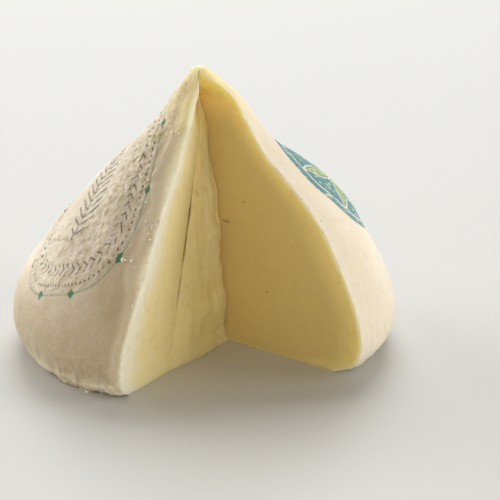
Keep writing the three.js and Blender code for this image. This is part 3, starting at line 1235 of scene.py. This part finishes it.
def group_node(tree, group, **inputs):
    """Places a node group and wires its inputs."""
    node = tree.nodes.new("ShaderNodeGroup")
    node.node_tree = group
    for label, term in inputs.items():
        feed(tree, node.inputs[label], term)
    return node


def new_material(name, roughness, depth):
    """An empty cheese-like material: a waxy surface that light sinks a few millimetres into."""
    material = bpy.data.materials.new(name)
    material.use_nodes = True
    tree = material.node_tree
    shader = tree.nodes["Principled BSDF"]
    shader.inputs["Roughness"].default_value = roughness
    shader.inputs["Subsurface Weight"].default_value = 0.6
    shader.inputs["Subsurface Radius"].default_value = (0.95, 1.0, 0.5)
    shader.inputs["Subsurface Scale"].default_value = depth * MM
    shader.inputs["Specular IOR Level"].default_value = 0.25
    place = tree.nodes.new("ShaderNodeTexCoord").outputs["Object"]
    return material, tree, shader, place


def add_bump(tree, shader, height, strength):
    """Fine relief in the shading, from a height in millimetres."""
    bump = tree.nodes.new("ShaderNodeBump")
    bump.inputs["Strength"].default_value = strength
    bump.inputs["Distance"].default_value = MM
    tree.links.new(height.socket, bump.inputs["Height"])
    tree.links.new(bump.outputs["Normal"], shader.inputs["Normal"])


def lip_highlight_and_crust_tone(tree, place, torn, rind_tone):
    """The rind's colour with pale lips, broader and yellower near the tip on the left, partly a pale cut edge
    and partly a painted highlight and glow, and a white crust at the foot beside the left lip."""
    up = axis_value(tree, place, 2)
    from_lip = attribute_value(tree, "from_lip")
    tip = up.step(78, 94)
    # Beside each lip the rind is painted paler: a painted highlight and glow over a paler cut edge.
    by_lip = from_lip.step(5.5 - torn * 2.2 + torn * tip * 1.5, 0.0)
    share = torn * (tip * 0.55 + 0.35) + (1.0 - torn) * up.step(96, 84) * 0.4
    left_lip = mixed(tree, tip, LEFT_LIP_TONE, LEFT_TIP_LIP_TONE)
    skin = mixed(tree, by_lip * share, rind_tone, mixed(tree, torn, RIGHT_LIP_TONE, left_lip))
    crust = noise(tree, place, size=2.6, detail=4).step(0.46, 0.56) * up.step(9, 4) * torn
    return mixed(tree, from_lip.step(15, 4) * crust * 0.7, skin, FOOT_CRUST)


def cheese_material(paste_tone, rind_tone):
    """Rind outside and paste inside, meeting at the lips, with the two prints on the rind."""
    material, tree, shader, place = new_material("rind_and_paste", roughness=0.48, depth=7.0)
    depth = attribute_value(tree, "under_rind")
    # The torn share: on the rind the share of painted shade, on the paste also painted light and shade.
    torn = attribute_value(tree, "torn")
    sheet = tree.nodes.new("ShaderNodeUVMap")
    sheet.uv_map = "skin"
    paste = group_node(tree, paste_tone, Place=place, Depth=depth, Torn=torn)
    rind = group_node(tree, rind_tone, Place=place, Dull=torn)
    skin = lip_highlight_and_crust_tone(tree, place, torn, rind.outputs["Colour"])

    ink, line, lozenge, film = wreath_print(tree, sheet.outputs[0])
    teal, lime = rosette_print(tree, sheet.outputs[0])
    outside = depth.step(0.5, 0.05)
    worn = noise(tree, place, size=2.4, detail=3).step(0.3, 0.46) * outside
    crumple = noise(tree, place, size=2.0, detail=4)
    patch = noise(tree, place, size=20, detail=2).step(0.42, 0.58)
    film_tone = mixed(tree, patch, FILM_DARK, FILM_LIGHT)
    tone = mixed(tree, film * outside * crumple.step(0.3, 0.7) * 0.6, skin, film_tone)
    tone = mixed(tree, line * worn * 0.55, tone, GREEN_LINE)
    tone = mixed(tree, ink * worn * 0.75, tone, GREY_INK)
    tone = mixed(tree, lozenge * worn * 0.9, tone, GREEN_LOZENGE)
    brush = noise(tree, place, size=1.8, detail=4, stretch=(1, 1, 0.45)).step(0.3, 0.44) * outside
    tone = mixed(tree, teal * brush * 0.9, tone, TEAL_DISC)
    tone = mixed(tree, lime * brush * 0.9, tone, LIME_PETAL)

    edge = depth + (noise(tree, place, size=2.5, detail=2) - 0.5) * depth.low(1.0)
    inside = edge.step(torn * 0.015 + 0.005, torn * 0.8 + 0.15)
    tone = mixed(tree, inside, tone, paste.outputs["Colour"])
    tone = mixed(tree, attribute_value(tree, "flap") * 0.35, tone, FLAP_TONE)
    # The slit, the cracks and the pit are darkened with painted shade.
    dark = attribute_value(tree, "crevice").step(0.2, 0.75).high(crack_mask(tree, place) * inside)
    tone = mixed(tree, dark * 0.85, tone, PAINTED_CREVICE_SHADE)
    tree.links.new(tone, shader.inputs["Base Color"])
    gloss = noise(tree, place, size=5, detail=3) * 0.16 + 0.42 - inside * 0.06
    tree.links.new(gloss.socket, shader.inputs["Roughness"])
    crinkle = 1.0 - (abs(noise(tree, place, size=3.4, detail=3) - 0.5) * 9).low(1.0)
    rind_height = Value(tree, rind.outputs["Height"]) + film * (crumple * 0.25 + crinkle * 0.22)
    height = rind_height + (Value(tree, paste.outputs["Height"]) - rind_height) * inside - dark * 0.4
    add_bump(tree, shader, height, strength=0.8)
    return material


def crumb_material(paste_tone):
    """Loose paste, pale where it has dried."""
    material, tree, shader, place = new_material("crumb_paste", roughness=0.55, depth=0.5)
    # A torn share of 1 gives the crumbs the paler copy of the paste, with its painted light.
    paste = group_node(tree, paste_tone, Place=place, Depth=3.0, Torn=1.0)
    dry = noise(tree, place, size=1.6, detail=3).step(0.4, 0.7)
    tone = mixed(tree, dry * 0.6, paste.outputs["Colour"], DRY_CRUMB)
    tree.links.new(tone, shader.inputs["Base Color"])
    add_bump(tree, shader, Value(tree, paste.outputs["Height"]), strength=0.9)
    return material


def lump_form(rings, around):
    """A unit ball as rings between two poles: its vertices, quads and pole triangles, facing out."""
    rise = np.linspace(-math.pi / 2, math.pi / 2, rings + 2)[1:-1, None]
    turn = np.linspace(0, 2 * math.pi, around, endpoint=False)[None]
    ball = np.stack(np.broadcast_arrays(
        np.cos(rise) * np.cos(turn), np.cos(rise) * np.sin(turn), np.sin(rise)
    ), -1).reshape(-1, 3)
    vertices = np.concatenate([ball, [(0, 0, -1), (0, 0, 1)]])
    here = np.arange(around)
    after = (here + 1) % around
    last = (rings - 1) * around
    south, north = rings * around, rings * around + 1
    caps = np.concatenate([
        np.stack([after, here, np.full(around, south)], -1),
        np.stack([last + here, last + after, np.full(around, north)], -1),
    ])
    return vertices, grid_faces(rings, around), caps


def make_crumbs(form, material):
    """Flakes and crumbs that cling along the lips and the foot: lumpy balls pressed flat against the surface
    and turned about its normal at random."""
    rng = np.random.default_rng(5)
    height = form.points[:, 0, 2]

    def spots(count, column_low, column_high, height_low, height_high):
        rows = np.searchsorted(height, rng.uniform(height_low, height_high, count))
        return np.stack([rows, rng.integers(column_low, column_high, count)], -1)

    row, column = np.concatenate([spots(*strip[:-1]) for strip in CRUMB_STRIPS]).T
    scale = np.concatenate([np.full((strip[0], 1), strip[-1]) for strip in CRUMB_STRIPS])
    count = len(row)
    up = form.normals[row, column] + rng.normal(0, CRUMB_TILT, (count, 3))
    up /= np.linalg.norm(up, axis=1, keepdims=True)
    along = np.cross(up, rng.normal(size=(count, 3)))
    along /= np.linalg.norm(along, axis=1, keepdims=True)
    turn = np.stack([along, np.cross(up, along), up], -1)
    size = rng.uniform(CRUMB_LEAST, CRUMB_MOST, (count, 3)) * scale
    ball, quads, caps = lump_form(CRUMB_RINGS, CRUMB_SIDES)
    noise_places = ball[None] * 1.6 + rng.uniform(0, 90, (count, 1, 3))
    swell = 1 + CRUMB_LUMPS * lattice_noise(noise_places, size=1.0, seed=71)
    lumpy = ball[None] * swell[..., None]
    vertices = np.einsum("nij,nvj->nvi", turn, lumpy * size[:, None]) + form.points[row, column][:, None]
    vertices[..., 2] = np.maximum(vertices[..., 2], 0)
    shift = (np.arange(count) * len(ball))[:, None, None]
    quads, caps = ((faces[None] + shift).reshape(-1, faces.shape[1]) for faces in (quads, caps))
    return make_object("crumbs", vertices.reshape(-1, 3), quads, caps, material)


# The camera, as fitted to the outline in the photograph
CAMERA_AZIMUTH = -15.0
CAMERA_ELEVATION = 19.3
CAMERA_DISTANCE = 800.0
CAMERA_AIM_RIGHT = 17.67
CAMERA_AIM_UP = 34.82
PIXELS_PER_MM_AT_AIM = 2.641
PHOTO_WIDTH = 500
SENSOR_WIDTH = 36.0

# Soft lights: place to the camera's right, away from it and up, in metres, then size, power and tint
LIGHTS = (
    ("back", (0.0, 1.6, 1.5), 1.5, 39.5, (1.0, 1.0, 1.0)),
    ("left_back", (-1.5, 1.3, 0.7), 1.1, 24.0, (1.0, 1.0, 1.0)),
    ("right_back", (1.5, 1.3, 0.7), 1.1, 10.8, (1.0, 1.0, 1.0)),
    ("left", (-1.8, 0.4, 0.8), 1.2, 12.3, (1.0, 0.98, 0.95)),
    ("right", (1.9, 0.0, 0.5), 1.2, 21.5, (1.0, 0.99, 0.96)),
    ("left_fill", (-1.4, -1.1, 1.0), 1.4, 5.4, (1.0, 0.93, 0.8)),
    ("front", (0.15, -1.7, 0.9), 1.2, 11.5, (1.0, 0.91, 0.75)),
)
LIGHT_AIM = Vector((0, 0, 0.04))
SKY_STRENGTH = 0.03

# The floor's half size in millimetres, and its two nearly equal tones
FLOOR_HALF = 4000.0
FLOOR_TONES = (colour(199, 199, 197), colour(195, 195, 192))


def camera_frame():
    """Unit vectors from the camera's view: right in plan, away in plan."""
    angle = math.radians(CAMERA_AZIMUTH)
    right = Vector((math.cos(angle), math.sin(angle), 0))
    away = Vector((-math.sin(angle), math.cos(angle), 0))
    return right, away


def make_camera():
    """The camera looks at its aim point from the given azimuth, elevation and distance."""
    right, away = camera_frame()
    rise = math.radians(CAMERA_ELEVATION)
    aim = (right * CAMERA_AIM_RIGHT + Vector((0, 0, CAMERA_AIM_UP))) * MM
    back = -away * math.cos(rise) + Vector((0, 0, math.sin(rise)))
    data = bpy.data.cameras.new("camera")
    data.sensor_width = SENSOR_WIDTH
    data.lens = SENSOR_WIDTH * PIXELS_PER_MM_AT_AIM * CAMERA_DISTANCE / PHOTO_WIDTH
    data.clip_start = 0.05
    data.clip_end = 30
    camera = bpy.data.objects.new("camera", data)
    camera.location = aim + back * CAMERA_DISTANCE * MM
    camera.rotation_euler = (-back).to_track_quat("-Z", "Y").to_euler()
    bpy.context.scene.collection.objects.link(camera)
    bpy.context.scene.camera = camera


def make_light(name, right_away_up, size, power, tint):
    """A square soft light that faces the cheese."""
    right, away = camera_frame()
    place = right * right_away_up[0] + away * right_away_up[1] + Vector((0, 0, right_away_up[2]))
    data = bpy.data.lights.new(name, "AREA")
    data.size = size
    data.energy = power
    data.color = tint
    light = bpy.data.objects.new(name, data)
    light.location = place
    light.rotation_euler = (LIGHT_AIM - place).to_track_quat("-Z", "Y").to_euler()
    bpy.context.scene.collection.objects.link(light)


def make_stage():
    """A wide pale floor, the sky's even light and the soft lights."""
    material = bpy.data.materials.new("pale_floor")
    material.use_nodes = True
    tree = material.node_tree
    shader = tree.nodes["Principled BSDF"]
    shader.inputs["Roughness"].default_value = 0.5
    place = tree.nodes.new("ShaderNodeTexCoord").outputs["Object"]
    tone = mixed(tree, noise(tree, place, size=300, detail=2), *FLOOR_TONES)
    tree.links.new(tone, shader.inputs["Base Color"])
    corners = np.array([(-1, -1, 0), (1, -1, 0), (1, 1, 0), (-1, 1, 0)]) * FLOOR_HALF
    no_triangles = np.zeros((0, 3), int)
    make_object("floor", corners, np.array([(0, 1, 2, 3)]), no_triangles, material)
    world = bpy.data.worlds.new("studio")
    world.use_nodes = True
    world.node_tree.nodes["Background"].inputs["Color"].default_value = colour(255, 255, 255)
    world.node_tree.nodes["Background"].inputs["Strength"].default_value = SKY_STRENGTH
    bpy.context.scene.world = world
    for light in LIGHTS:
        make_light(*light)


bpy.context.scene.view_settings.view_transform = "Standard"
make_stage()
make_camera()
paste_tone = paste_tone_group()
form = dressed_form()
body = make_cheese(form, cheese_material(paste_tone, rind_tone_group()))
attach(body, "root")
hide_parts("cheese")
crumbs = make_crumbs(form, crumb_material(paste_tone))
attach(crumbs, "root")
